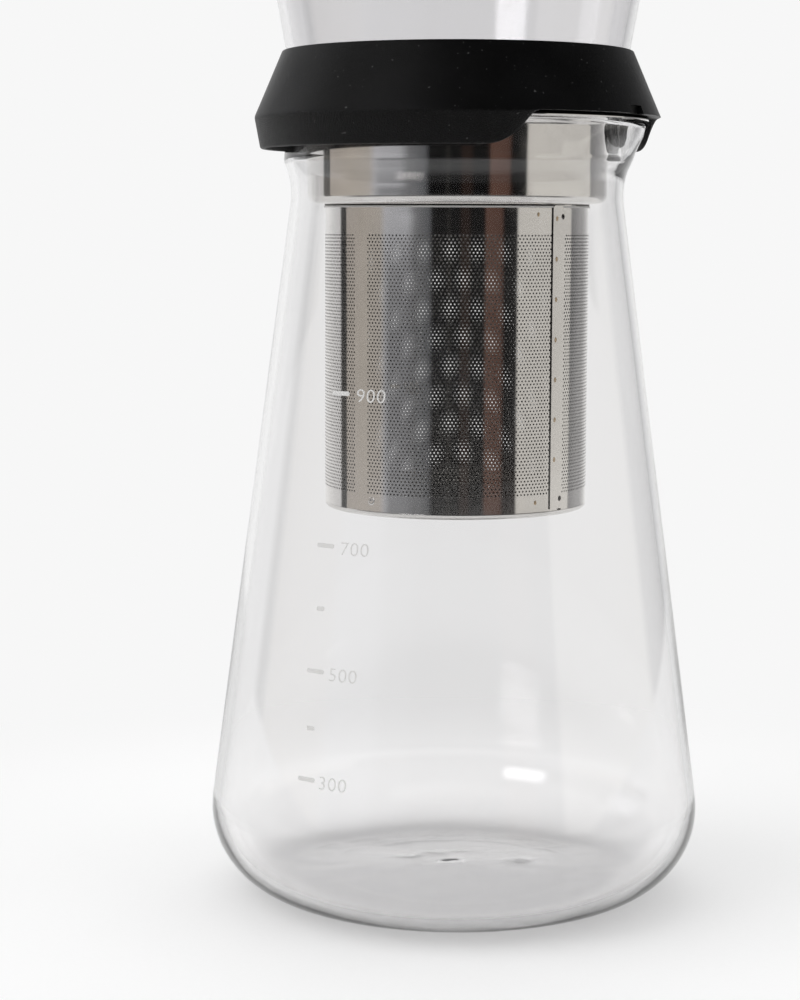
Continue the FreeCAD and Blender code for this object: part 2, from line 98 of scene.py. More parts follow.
def pick(piece, test, kind="VERT"):
    """Select the vertices or edges of a piece whose centre passes a test, and stay in edit mode."""
    hold(piece)
    bpy.ops.object.mode_set(mode="EDIT")
    bpy.ops.mesh.select_mode(type=kind)
    bpy.ops.mesh.select_all(action="DESELECT")
    done()
    mesh = piece.data
    found = 0
    for part in mesh.vertices if kind == "VERT" else mesh.edges:
        centre = part.co if kind == "VERT" else sum((mesh.vertices[i].co for i in part.vertices), Vector()) / 2
        part.select = bool(test(centre))
        found += part.select
    bpy.ops.object.mode_set(mode="EDIT")
    return found


# %% [markdown]
# ## Helpers for shape and finish
# A modifier is added, set and applied in one go, so that every finished piece is a plain mesh. Cleaning merges
# doubles and turns the faces outwards, which Spin and Array leave to chance.

# %% Helpers: modify, clean, smooth and finish
JOIN_WITHIN = 2e-5  # metres, within which the corners of neighbouring cells are one


def modify(piece, kind, **settings):
    """Add a modifier, set it and apply it."""
    hold(piece)
    modifier = piece.modifiers.new(kind.lower(), kind)
    for name, value in settings.items():
        setattr(modifier, name, value)
    bpy.ops.object.modifier_apply(modifier=modifier.name)


def cut(piece, tool):
    """Take the shape of a tool out of a piece."""
    modify(piece, "BOOLEAN", operation="DIFFERENCE", object=tool, solver="EXACT")


def repeat(piece, count, along, up):
    """Repeat a flat piece by a step in millimetres, each joined to the one before."""
    modify(piece, "ARRAY", count=count, use_relative_offset=False, use_constant_offset=True,
           constant_offset_displace=(along * MM, 0, up * MM), use_merge_vertices=True, merge_threshold=JOIN_WITHIN)


def clean(piece, merge=1e-6):
    """Merge vertices that lie on each other and turn every face outwards."""
    hold(piece)
    edit()
    bpy.ops.mesh.remove_doubles(threshold=merge)
    bpy.ops.mesh.normals_make_consistent(inside=False)
    done()


def smooth(piece, degrees):
    """Shade a piece smoothly, except over edges sharper than an angle."""
    hold(piece)
    bpy.ops.object.shade_smooth_by_angle(angle=math.radians(degrees))


def triangles(piece):
    """How many triangles a piece has."""
    return sum(len(face.vertices) - 2 for face in piece.data.polygons)


def finish_piece(piece, body, material, stands_for=()):
    """Give a piece its material, the body it rides on and the solids it stands for."""
    piece.data.materials.clear()
    piece.data.materials.append(material)
    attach(piece, body)
    if stands_for:
        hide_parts(*stands_for)
    print(f"{piece.name}: {triangles(piece)} triangles, on {body}")


# %% [markdown]
# ## Turned sections
# Glass blown in a mould, drawn steel rings and most moulded rings are all bodies of revolution. Each could be
# a stack of cylinders, but their look depends on soft corners, so they are drawn the way a turner works: half
# a section with round corners, spun about the axis. A section is a list of corners, each with its radius,
# height and rounding in millimetres.

# %% Helpers: a rounded section and its spin
def rounded(corners, closed, step, bend):
    """Points along a section with round corners; step is the longest run, bend the degrees per arc step."""
    flat = [Vector((r, z)) for r, z, _ in corners]
    count = len(flat)
    path = []
    for i, (point, (_, _, rounding)) in enumerate(zip(flat, corners)):
        if not (closed or 0 < i < count - 1) or rounding <= 0:
            path.append(point)
            continue
        back, ahead = flat[i - 1] - point, flat[(i + 1) % count] - point
        turn = math.pi - back.angle(ahead)
        reach = rounding * math.tan(turn / 2)
        start, end = point + back.normalized() * reach, point + ahead.normalized() * reach
        middle = (back.normalized() + ahead.normalized()).normalized()
        centre = point + middle * (rounding / math.cos(turn / 2))
        steps = max(2, math.ceil(math.degrees(turn) / bend))
        a, b = start - centre, end - centre
        for k in range(steps + 1):
            share = k / steps
            arm = a * math.sin((1 - share) * turn) + b * math.sin(share * turn)
            path.append(centre + arm / math.sin(turn))
    full = []
    ends = path[1:] + ([path[0]] if closed else [])
    for here, there in zip(path, ends):
        runs = max(1, math.ceil((there - here).length / step))
        full += [here.lerp(there, k / runs) for k in range(runs)]
    if not closed:
        full.append(path[-1])
    return [(p.x * MM, p.y * MM) for p in full]


def turn_section(name, corners, steps, closed=True, step=4.0, bend=7.5):
    """Draw a section by extruding one vertex from point to point, then spin it into a body."""
    section = rounded(corners, closed, step, bend)
    let_go()
    radius, height = section[0]
    bpy.ops.mesh.primitive_plane_add(size=MM, location=(radius, 0, height))
    piece = settle(name)
    edit()
    bpy.ops.mesh.merge(type="CENTER")
    for (r0, z0), (r1, z1) in zip(section, section[1:] + (section[:1] if closed else [])):
        bpy.ops.mesh.extrude_region_move(TRANSFORM_OT_translate={"value": (r1 - r0, 0, z1 - z0)})
    bpy.ops.mesh.select_all(action="SELECT")
    bpy.ops.mesh.remove_doubles(threshold=1e-6)
    bpy.ops.mesh.spin(steps=steps, angle=2 * math.pi, center=(0, 0, 0), axis=(0, 0, 1))
    done()
    clean(piece)
    print(f"{name}: a section of {len(section)} points, spun in {steps} steps")
    return piece


def places(piece):
    """All vertex places of a piece as an array."""
    co = np.empty(len(piece.data.vertices) * 3)
    piece.data.vertices.foreach_get("co", co)
    return co.reshape(-1, 3)


def place(piece, co):
    """Put all vertices of a piece at new places."""
    piece.data.vertices.foreach_set("co", co.ravel())
    piece.data.update()


# %% [markdown]
# ## Material helpers
# Every finish is a small tree of nodes around one Principled shader, and the room's light is such a tree too.
# Noise is read from Object coordinates, which are metres in the common frame, so a scale of 1000 is one cell
# per millimetre. Numbers that are the same everywhere are typed into the shader itself.

# %% Helpers: a tree of nodes
def colour(value):
    """A colour with its alpha, from three parts or from one grey."""
    return (*value, 1) if isinstance(value, tuple) else (value, value, value, 1)


class Tree:
    """A node tree, and short ways to add and join nodes."""

    def __init__(self, tree):
        self.tree = tree

    def feed(self, socket, value):
        """Join another socket to this one, or type a number, a vector or a colour into it."""
        if isinstance(value, bpy.types.NodeSocket):
            self.tree.links.new(value, socket)
        else:
            socket.default_value = colour(value) if socket.type == "RGBA" else value

    def add(self, kind, **settings):
        """A new node; a setting is an attribute of the node or one of its inputs."""
        node = self.tree.nodes.new("ShaderNode" + kind)
        for name, value in settings.items():
            if hasattr(node, name):
                setattr(node, name, value)
            else:
                self.feed(node.inputs[name.replace("_", " ")], value)
        return node

    def fill(self, node, numbers, *values):
        """Feed the inputs of a node that have these numbers."""
        for number, value in zip(numbers, values):
            self.feed(node.inputs[number], value)
        return node.outputs

    def spread(self, value, low, high, to_low=0.0, to_high=1.0, soft=False):
        """Map a value from one range to another, evenly or with soft ends."""
        ramp = self.add("MapRange", interpolation_type="SMOOTHSTEP" if soft else "LINEAR", Value=value,
                        From_Min=low, From_Max=high, To_Min=to_low, To_Max=to_high)
        return ramp.outputs["Result"]

    def sums(self, operation, first, second=0.0):
        """One Math node on sockets or numbers."""
        return self.fill(self.add("Math", operation=operation), (0, 1), first, second)[0]

    def blend(self, share, first, second, way="MIX"):
        """A colour between two others."""
        node = self.add("Mix", data_type="RGBA", blend_type=way)
        return self.fill(node, (0, 6, 7), share, first, second)[2]

    def shaders(self, share, first, second):
        """A share of the second shader over the first."""
        return self.fill(self.add("MixShader"), (0, 1, 2), share, first, second)[0]


# %% [markdown]
# ## A finish
# A finish is a tree that starts from the Principled shader of a new material. Noise hardly ever leaves the
# range from 0.3 to 0.7, so that range is what gets stretched over the roughness or the colour.

# %% Helpers: a finish
class Finish(Tree):
    """A material around one Principled shader."""

    def __init__(self, name):
        self.material = bpy.data.materials.new(name)
        self.material.use_nodes = True
        super().__init__(self.material.node_tree)
        self.shader = self.tree.nodes["Principled BSDF"]
        self.surface = self.tree.nodes["Material Output"].inputs["Surface"]

    def set(self, **values):
        """Set inputs of the shader."""
        for name, value in values.items():
            self.feed(self.shader.inputs[name.replace("_", " ")], value)

    def object_place(self, scale=(1, 1, 1)):
        """Object coordinates, stretched by a scale."""
        return self.add("Mapping", Vector=self.add("TexCoord").outputs["Object"], Scale=scale).outputs["Vector"]

    def speckle(self, vector, scale, detail=2.0):
        """Noise read at a place."""
        return self.add("TexNoise", Vector=vector, Scale=scale, Detail=detail, Roughness=0.5).outputs["Fac"]

    def swing(self, grain, low=0.0, high=1.0):
        """Stretch noise over a range."""
        return self.spread(grain, 0.3, 0.7, low, high)

    def bump(self, height, strength, distance):
        """Feed a height into the shader's normal."""
        self.set(Normal=self.add("Bump", Strength=strength, Distance=distance, Height=height).outputs["Normal"])


# %% [markdown]
# ## Clear glass
# Heat-resistant glass is clear with the faintest grey in its body. It is a Principled shader with full
# transmission. Lamps would leave what stands inside the glass dark, so a Mix Shader lets their rays straight
# through. Soft noise in the bump gives the slight unevenness of glass that was blown and not cut.

# %% Make the glass
def make_glass(name, body_tint, wave):
    glass = Finish(name)
    glass.set(Base_Color=body_tint, Roughness=0.0, IOR=1.47, Transmission_Weight=1.0)
    glass.bump(glass.speckle(glass.object_place((1, 1, 0.35)), 38, 1.0), 0.10, wave)
    shadow = glass.add("LightPath").outputs["Is Shadow Ray"]
    clear = glass.add("BsdfTransparent", Color=tuple(c ** 0.5 * 0.99 for c in body_tint)).outputs[0]
    glass.feed(glass.surface, glass.shaders(shadow, glass.shader.outputs[0], clear))
    return glass.material


decanter_glass = make_glass("decanter_glass", (0.985, 0.982, 0.983), 0.0008)
bowl_glass = make_glass("bowl_glass", (0.912, 0.906, 0.914), 0.0006)
print("glass made:", decanter_glass.name, bowl_glass.name)

# %% [markdown]
# ## Strainer steel
# The strainer is drawn and rolled stainless steel with a bright finish. Its reflections are nearly sharp along
# the girth, with fine lines left by rolling, which run round the sleeve. Noise that is stretched round the
# axis stands for those lines: they vary the roughness a little and the surface height by a hair. Its inside is
# duller, the walls of its holes get a near-black steel as painted shade, and the heat of welding has tinted the
# spots. A near-black steel also stands in the joint below the ring as a painted shadow.

# %% Make the steel
def make_steel(name, tone, rough_low, rough_high, metal=1.0):
    steel = Finish(name)
    lines = steel.speckle(steel.object_place((30, 30, 5200)), 1.0, 3.0)
    cloud = steel.speckle(steel.object_place(), 70)
    both = steel.sums("ADD", steel.sums("MULTIPLY", lines, 0.6), steel.sums("MULTIPLY", cloud, 0.4))
    darker = tuple(c * 0.93 for c in tone)
    steel.set(Metallic=metal, Roughness=steel.swing(both, rough_low, rough_high),
              Base_Color=steel.blend(steel.swing(cloud), darker, tone))
    waves = steel.speckle(steel.object_place((1, 1, 0.4)), 60, 1.0)
    steel.bump(steel.sums("ADD", steel.sums("MULTIPLY", lines, 0.015), waves), 1.0, 0.00004)
    return steel.material


strainer_steel = make_steel("strainer_steel", (0.76, 0.745, 0.725), 0.04, 0.09)
strainer_inside = make_steel("strainer_inside", (0.86, 0.85, 0.835), 0.45, 0.55, 0.35)
# near-black steel on the walls of the holes: painted shade inside the holes
hole_walls_painted_shade = make_steel("hole_walls_painted_shade", (0.12, 0.115, 0.11), 0.45, 0.55)
weld_straw = make_steel("weld_straw", (0.52, 0.40, 0.27), 0.22, 0.35)
# near-black steel for the thin ring above the sleeve's hem: a painted shadow in the joint
painted_joint_shadow = make_steel("painted_joint_shadow", (0.05, 0.045, 0.04), 0.40, 0.50)
print("steel made:", [m.name for m in (strainer_steel, strainer_inside, hole_walls_painted_shade, weld_straw, painted_joint_shadow)])

# %% [markdown]
# ## Moulded black plastic
# Collar, nozzle and lid are satin black mouldings. The tool leaves a fine even grain, stronger on the collar's
# upright band, and handling leaves a few pale specks of dust and faintly shinier patches. On the band, the
# brighter grains are also painted pale, as painted glints of light on the grain.

# %% Make the black plastic
BLACK, BLACK_WORN, DUST_AND_GLINT = (0.0012, 0.0012, 0.0013), (0.0030, 0.0030, 0.0032), 0.045


def make_black_plastic(name, grain_size, grain_depth, band_top=None):
    black = Finish(name)
    here = black.object_place()
    grain, cloud = black.speckle(here, grain_size, 1.0), black.speckle(here, 55, 3.0)
    specks = black.spread(black.speckle(here, 1500, 0.0), 0.815, 0.85)
    if band_top is None:
        black.bump(grain, 0.5, grain_depth)
    else:
        height = black.add("SeparateXYZ", Vector=here).outputs["Z"]
        on_band = black.spread(height, band_top, band_top - 0.0004, 0.18, 1.0)
        black.bump(black.sums("MULTIPLY", grain, on_band), 1.0, grain_depth)
        # on the band, brighter grains are painted pale: painted glints, joined to the dust specks in one colour
        pale = black.sums("MULTIPLY", black.spread(grain, 0.52, 0.70), on_band)
        specks = black.sums("MAXIMUM", specks, black.sums("MULTIPLY", pale, 0.10))
    worn = black.blend(black.swing(cloud), BLACK, BLACK_WORN)
    black.set(IOR=1.27, Roughness=black.swing(cloud, 0.36, 0.46), Base_Color=black.blend(specks, worn, DUST_AND_GLINT))
    return black.material


collar_black = make_black_plastic("collar_black", 4000, 0.00034, 0.1806)
lid_black = make_black_plastic("lid_black", 4200, 0.00005)
print("plastic made:", collar_black.name, lid_black.name)

# %% [markdown]
# ## Silicone and scale print
# The seal is soft translucent grey silicone. The scale on the decanter is fired enamel, a pale grey that hardly
# stands out from the glass.

# %% Make silicone and enamel
def make_silicone():
    soft = Finish("seal_silicone")
    cloud = soft.speckle(soft.object_place(), 900)
    soft.set(Base_Color=soft.blend(cloud, (0.55, 0.55, 0.56), (0.68, 0.68, 0.69)),
             Roughness=soft.swing(cloud, 0.5, 0.65), Specular_IOR_Level=0.35,
             Subsurface_Weight=0.2, Subsurface_Radius=(MM, MM, MM))
    soft.bump(cloud, 0.2, 0.00003)
    return soft.material


def make_enamel():
    fired = Finish("scale_enamel")
    cloud = fired.speckle(fired.object_place(), 2600, 3.0)
    fired.set(Base_Color=fired.blend(cloud, (0.76, 0.755, 0.745), (0.84, 0.835, 0.825)),
              Roughness=fired.swing(cloud, 0.55, 0.75))
    fired.bump(cloud, 0.3, 0.00002)
    behind = fired.add("BsdfTranslucent", Color=(0.80, 0.79, 0.78)).outputs[0]
    fired.feed(fired.surface, fired.shaders(0.35, fired.shader.outputs[0], behind))
    return fired.material


seal_silicone = make_silicone()
scale_enamel = make_enamel()
print("silicone and enamel made")

# %% [markdown]
# ## The decanter
# Blown glass: a flat foot ring round a pushed-up base, a big soft corner, a straight cone, a waist, a bulge
# under the rim and a fire-polished edge. One closed section holds the outside and the inside, so the wall is
# real and light bends through it as through glass. The pouring lip is no body of revolution, so it is pulled
# out of the spun neck afterwards.

# %% Spin the decanter
WALL = 1.9
CONE_R, TAPER = 60.14, 0.135
WAIST_Z, BULGE_R, BULGE_Z = 164.6, 40.0, 170.8
RIM_R, RIM_Z, RIM_GLASS = 38.9, 179.4, 2.1
FOOT_R, PUNT, BASE_GLASS = 30.0, 1.6, 2.6


def cone_r(z):
    """Outer radius of the decanter's side at a height, in millimetres."""
    return CONE_R - TAPER * z


decanter = turn_section("decanter_body", [
    (0, PUNT, 0), (FOOT_R, 0, 25), (CONE_R, 0, 20), (cone_r(WAIST_Z), WAIST_Z, 17), (BULGE_R, BULGE_Z, 4),
    (RIM_R, RIM_Z, 0.95), (RIM_R - RIM_GLASS, RIM_Z, 0.95), (BULGE_R - WALL, BULGE_Z, 2.1),
    (cone_r(WAIST_Z) - WALL, WAIST_Z, 18.9), (CONE_R - WALL - TAPER * BASE_GLASS, BASE_GLASS, 18.1),
    (FOOT_R, BASE_GLASS, 22), (0, PUNT + BASE_GLASS, 0),
], steps=216, closed=False, step=2.4, bend=5)

# %% [markdown]
# ## The pouring lip
# The glassblower pulls the hot rim outwards with a tool. The same is done here to the vertices: the higher a
# point lies above the lip's start and the nearer it is to +X, the further it moves out, with smooth fades. The
# edge also sinks a little as it goes out, and the base gets the soft ripples of glass that set in the mould.

# %% Pull out the lip and ripple the base
LIP_START, LIP_REACH, LIP_FADE = 166.6, 6.9, 32.0
DROP_ANGLE, DROP_START, DROP_FADE = 7.5, 170.0, 9.0
RIPPLE_R, RIPPLE_FADE = 42.0, 8.0
SWELLS = (70, 0.26), (190, 0.07)  # waves per metre and height in millimetres

co = places(decanter)
radius = np.hypot(co[:, 0], co[:, 1])
angle = np.degrees(np.arctan2(co[:, 1], co[:, 0]))
rise = np.clip((co[:, 2] / MM - LIP_START) / (RIM_Z - LIP_START), 0, 1)
near_lip = np.where(np.abs(angle) < LIP_FADE, np.cos(np.radians(90 * angle / LIP_FADE)) ** 2, 0)
stand = LIP_REACH * MM * rise ** 2 * (3 - 2 * rise) * near_lip
direction = co[:, :2] / np.maximum(radius, 1e-9)[:, None]
co[:, :2] += direction * stand[:, None]
sink = math.tan(math.radians(DROP_ANGLE)) * np.maximum(0, co[:, 0] - RIM_R * MM)
co[:, 2] -= sink * np.clip((co[:, 2] / MM - DROP_START) / DROP_FADE, 0, 1)
above_base = co[:, 2] / MM - PUNT
inside_base = (above_base > 0.2) & (above_base < BASE_GLASS + 2) & (radius < RIPPLE_R * MM)
for i in np.nonzero(inside_base)[0]:
    ripple = sum(high * noise.noise(Vector(co[i]) * waves) for waves, high in SWELLS)
    co[i, 2] += ripple * MM * min(1, (RIPPLE_R - radius[i] / MM) / RIPPLE_FADE)
place(decanter, co)
smooth(decanter, 60)
finish_piece(decanter, "decanter", decanter_glass, ["decanter"])

# %% [markdown]
# ## The water bowl
# A second blown glass: it widens upwards from a rounded foot that sits in the collar, and its base is drilled
# for the nozzle. The same spin makes it, with a rounded rim at the top.

# %% Spin the bowl
BOWL_Z, BOWL_FOOT, BOWL_TAPER, BOWL_TOP, BOWL_BASE, DRIP_HOLE = 175.25, 35.72, 0.18, 292.5, 2.0, 5.0


def bowl_r(z):
    """Outer radius of the bowl at a height, in millimetres."""
    return BOWL_FOOT + BOWL_TAPER * (z - BOWL_Z)


bowl = turn_section("water_bowl", [
    (DRIP_HOLE, BOWL_Z, 0.3), (BOWL_FOOT, BOWL_Z, 18), (bowl_r(BOWL_TOP), BOWL_TOP, 0.9),
    (bowl_r(BOWL_TOP) - WALL, BOWL_TOP, 0.9), (bowl_r(BOWL_Z + BOWL_BASE) - WALL, BOWL_Z + BOWL_BASE, 16.1),
    (DRIP_HOLE, BOWL_Z + BOWL_BASE, 0.3),
], steps=216, step=3, bend=5)
smooth(bowl, 60)
finish_piece(bowl, "bowl", bowl_glass, ["bowl"])

# %% [markdown]
# ## The strainer's ring
# One drawn steel sheet: a flange that lies on the decanter's rim, a wall that flares a little above a faint
# crease, and a shelf that turns down into the sleeve. Its half section is a thin closed line, spun with enough
# steps for a mirror finish to stay smooth.

# %% Spin the ring
SHEET, SLEEVE_R, SLEEVE_SHEET = 0.5, 30.45, 0.30
CUP_R, CUP_Z, FLANGE_R, FLANGE_Z = 34.6, 160.6, 43.9, 179.55
SPIGOT_R, SPIGOT_Z = SLEEVE_R - SLEEVE_SHEET, 156.0
CREASE, FLARE = 165.2, 0.3

ring = turn_section("strainer_ring", [
    (SPIGOT_R, SPIGOT_Z, 0.12), (SPIGOT_R, CUP_Z, 0.35), (CUP_R, CUP_Z, 2.2), (CUP_R, CREASE, 0.4),
    (CUP_R + FLARE, FLANGE_Z, 2.0), (FLANGE_R, FLANGE_Z, 0.22), (FLANGE_R, FLANGE_Z + SHEET, 0.22),
    (CUP_R + FLARE - SHEET, FLANGE_Z + SHEET, 2.5), (CUP_R - SHEET, CREASE, 0.4),
    (CUP_R - SHEET, CUP_Z + SHEET, 1.7), (SPIGOT_R - SHEET, CUP_Z + SHEET, 0.8), (SPIGOT_R - SHEET, SPIGOT_Z, 0.12),
], steps=216)
smooth(ring, 50)
finish_piece(ring, "strainer", strainer_steel, ["strainer_rim"])

# %% [markdown]
# ## The strainer's bottom
# A shallow pressed dish closes the sleeve. Only its rounded edge shows below the perforation, with a raised
# floor inside it.

# %% Spin the bottom dish
STRAINER_Z, BEAD, DISH_RISE, DISH_R, DISH_FLOOR = 91.0, 1.25, 5.2, 26.0, 0.7

dish = turn_section("strainer_dish", [
    (0, STRAINER_Z + DISH_FLOOR, 0), (DISH_R, STRAINER_Z + DISH_FLOOR, 0.8), (DISH_R + DISH_FLOOR, STRAINER_Z, 0.8),
    (SLEEVE_R, STRAINER_Z, 1.1), (SLEEVE_R, STRAINER_Z + BEAD, 0.1), (SPIGOT_R, STRAINER_Z + BEAD, 0),
    (SPIGOT_R, STRAINER_Z + DISH_RISE, 0.12), (SPIGOT_R - SHEET, STRAINER_Z + DISH_RISE, 0.12),
    (SPIGOT_R - SHEET, STRAINER_Z + SHEET, 0.6), (DISH_R + DISH_FLOOR, STRAINER_Z + SHEET, 0.5),
    (DISH_R, STRAINER_Z + DISH_FLOOR + SHEET, 0.5), (0, STRAINER_Z + DISH_FLOOR + SHEET, 0),
], steps=192, closed=False, bend=12)
smooth(dish, 40)
finish_piece(dish, "strainer", strainer_steel, ["strainer_base"])

# %% [markdown]
# ## One hole of the sleeve
# The sleeve is a sheet with thousands of tiny holes in staggered rows. An image of dots would look flat from
# the side, so every hole is real. One cell is enough to draw: a six-sided hole inside a six-cornered frame,
# whose corners meet the neighbours in the row and in the next, shifted row.

# %% Draw one cell flat
LAP_ANGLE, HOLES_FROM, TAIL = -18.2, -11.1, 5.0
PLAIN_COLUMNS = 157.75, 162.25  # counted in cells from the sheet's start
HOLE_R, CELLS, ROWS, ROW_TOP, ROW_FOOT = 0.235, 212, 78, 153.75, 96.35
DEGREE = math.radians(SLEEVE_R)  # millimetres of sheet per degree of girth
CELL_W = (LAP_ANGLE + 360 - HOLES_FROM) * DEGREE / (CELLS + 0.5)
CELL_H = (ROW_TOP - ROW_FOOT) / (ROWS - 1)

let_go()
bpy.ops.mesh.primitive_circle_add(vertices=6, radius=HOLE_R * MM, fill_type="NOTHING",
                                  location=(CELL_W / 2 * MM, 0, CELL_H / 2 * MM), rotation=(math.pi / 2, 0, 0))
cell = settle()
edit()
wide, tall = CELL_W / (2 * HOLE_R * math.cos(math.pi / 6)), CELL_H / (2 * HOLE_R)
bpy.ops.mesh.extrude_region_move()
bpy.ops.transform.resize(value=(wide, 1, tall))
done()
# the frame's outer corners reach up and down to those of the next rows
moved = pick(cell, lambda p: abs(p.x / MM - CELL_W / 2) > CELL_W * 0.45)
bpy.ops.transform.resize(value=(1, 1, 2))
done()
print("cell", round(CELL_W, 3), "x", round(CELL_H, 3), "mm, corners moved:", moved)

# %% [markdown]
# ## Rows of holes
# The cell is repeated round the sheet with an Array, copied once as the shifted row above, and the pair of
# rows is repeated upwards. Narrow strips fill the half cells at the ends of every other row, and a few columns
# of holes are closed again, because the sheet has a plain strip there.

# %% Repeat the cell into a band of rows
def make_rows(pairs):
    """A flat band of staggered rows, in pairs of rows."""
    band = twin(cell)
    repeat(band, CELLS, CELL_W, 0)
    edit()
    bpy.ops.mesh.duplicate_move(TRANSFORM_OT_translate={"value": (CELL_W / 2 * MM, 0, CELL_H * MM)})
    bpy.ops.mesh.select_all(action="SELECT")
    bpy.ops.mesh.remove_doubles(threshold=JOIN_WITHIN)
    done()
    half, right = CELL_W / 2 * MM, CELLS * CELL_W * MM
    for low, high, at, move in ((CELL_H, 2 * CELL_H, half, -half), (0, CELL_H, right, half)):
        pick(band, lambda p: abs(p.x - at) < 1e-5 and low < p.z / MM < high, "EDGE")
        bpy.ops.mesh.extrude_region_move(TRANSFORM_OT_translate={"value": (move, 0, 0)})
        done()
    pick(band, lambda p: PLAIN_COLUMNS[0] < p.x / MM / CELL_W < PLAIN_COLUMNS[1])
    bpy.ops.mesh.fill_holes(sides=6)
    done()
    repeat(band, pairs, 0, 2 * CELL_H)
    return band


def face_out(sheet):
    """Turn the faces of a flat sheet to -Y, the side that will be the outside of the sleeve."""
    clean(sheet, JOIN_WITHIN)
    if sum(face.normal.y * face.area for face in sheet.data.polygons) > 0:
        edit()
        bpy.ops.mesh.flip_normals()
        done()


tall_rows, low_rows = make_rows(10), make_rows(9)
for rows in (tall_rows, low_rows):
    face_out(rows)
print("flat rows:", triangles(tall_rows), "and", triangles(low_rows), "triangles")

# %% [markdown]
# ## Rolling the sheet
# A rolling mill bends the flat sheet round until one end laps over the other, and the seam is spot welded.
# Here each vertex is bent by the same rule: its place along the sheet becomes a direction, its depth in the
# sheet is taken off the radius, and over the lap the radius grows by the thickness of the sheet beneath.

# %% Helpers: roll and finish a sheet
LAP_RUN = 22.0  # degrees over which the lapped end comes down to the sleeve's radius
FACES_OUT = 0.7  # how squarely a face looks outwards or inwards when it is no wall of a hole


def roll(piece, start, height):
    """Bend a flat sheet that starts at a direction in degrees, and lift it to a height in millimetres."""
    co = places(piece)
    turn = start + co[:, 0] / MM / DEGREE
    lapped = np.clip(1 - (turn - LAP_ANGLE) / LAP_RUN, 0, 1)
    tucked = np.clip((turn - LAP_ANGLE - 360) / LAP_RUN, 0, 1)
    r = SLEEVE_R * MM + SLEEVE_SHEET * MM * (lapped - tucked) - co[:, 1]
    a = np.radians(turn)
    place(piece, np.stack([r * np.cos(a), r * np.sin(a), co[:, 2] + height * MM], axis=1))


def finish_sheet(piece, start, height):
    """Thicken and roll a flat sheet: bright steel outside, duller inside, painted shade (near-black steel) on the
    walls of the holes.
    """
    face_out(piece)
    modify(piece, "SOLIDIFY", thickness=SLEEVE_SHEET * MM, offset=-1, use_rim=True, use_even_offset=False)
    roll(piece, start, height)
    smooth(piece, 30)
    finish_piece(piece, "strainer", strainer_steel, ["strainer_sleeve"])
    for material in (strainer_inside, hole_walls_painted_shade):
        piece.data.materials.append(material)
    # faces that look neither out nor in are the walls of the holes, and they get the painted shade
    for face in piece.data.polygons:
        outward = face.normal.xy.dot(face.center.xy.normalized())
        face.material_index = 0 if outward > FACES_OUT else 1 if outward < -FACES_OUT else 2


# %% [markdown]
# ## The four bands of the sleeve
# One mesh of all the holes would be too heavy, so the perforation is made as four bands that meet exactly.
# Each is a copy of the flat rows, thickened and rolled at its own height.

# %% Make the bands and roll them
SLEEVE_TOP, SLEEVE_FOOT = 160.5, STRAINER_Z + BEAD
HOLES_FOOT = ROW_FOOT - CELL_H / 2
HOLES_HEAD = HOLES_FOOT + ROWS * CELL_H

for number, (rows, first_row) in enumerate(((low_rows, 0), (tall_rows, 18), (tall_rows, 38), (tall_rows, 58))):
    band = twin(rows)
    band.name = band.data.name = f"sleeve_band_{number + 1}"
    finish_sheet(band, HOLES_FROM, HOLES_FOOT + first_row * CELL_H)
for used in (cell, tall_rows, low_rows):
    bpy.data.objects.remove(used)

# %% [markdown]
# ## Plain strips, the lap and the tail
# Above and below the holes the sheet is plain. Its margin lies over the other end as a narrow strip with a
# rounded upper corner, and a hidden tail continues the sheet beneath it. All are flat planes, cut into columns
# so that they roll smoothly and meet the holes' cells corner to corner.

# %% Make the plain strips, the lap and the tail
LAP_FOOT, LAP_HEAD, LAP_ROUND = SLEEVE_FOOT + 0.4, SLEEVE_TOP - 0.1, 0.7


def flat_strip(name, width, foot, head):
    """A flat rectangle in the sheet's plane."""
    let_go()
    bpy.ops.mesh.primitive_plane_add(size=1, location=(width / 2 * MM, 0, (foot + head) / 2 * MM),
                                     rotation=(math.pi / 2, 0, 0))
    return settle(name, (width * MM, (head - foot) * MM, 1))


def plain_strip(name, foot, head):
    """A strip of half cells that is as long as a row of holes."""
    strip = flat_strip(name, CELL_W / 2, foot, head)
    repeat(strip, 2 * CELLS + 1, CELL_W / 2, 0)
    finish_sheet(strip, HOLES_FROM, 0)
    return strip


def cut_columns(piece, start, width, columns):
    """Cut a flat piece into columns of equal width."""
    hold(piece)
    for k in range(1, columns):
        edit()
        bpy.ops.mesh.bisect(plane_co=((start + width * k / columns) * MM, 0, 0), plane_no=(1, 0, 0))
        done()


sleeve_head = plain_strip("sleeve_head", HOLES_HEAD, SLEEVE_TOP)
sleeve_foot = plain_strip("sleeve_foot", SLEEVE_FOOT, HOLES_FOOT)

margin = (HOLES_FROM - LAP_ANGLE) * DEGREE
lap = flat_strip("sleeve_lap", margin, LAP_FOOT, LAP_HEAD)
pick(lap, lambda p: p.x < 1e-6 and p.z / MM > LAP_HEAD - 1)
bpy.ops.mesh.bevel(offset=LAP_ROUND * MM, offset_pct=0, segments=8, affect="VERTICES")
done()
cut_columns(lap, 0, margin, 9)
finish_sheet(lap, LAP_ANGLE, 0)

tail = flat_strip("sleeve_tail", TAIL * DEGREE, SLEEVE_FOOT, SLEEVE_TOP)
cut_columns(tail, 0, TAIL * DEGREE, 6)
finish_sheet(tail, LAP_ANGLE + 360, 0)

# %% [markdown]
# ## Drill the pilot holes
# Two small holes held the sheet on its pins while it was rolled and welded. Each is drilled with a Boolean
# straight towards the axis, through everything that lies there.

# %% Drill the pilot holes
PILOT_ANGLE, PILOT_R, DRILL_LENGTH = LAP_ANGLE + 6.1, 0.6, 5.0
PILOT_HEIGHTS = 157.9, 94.9

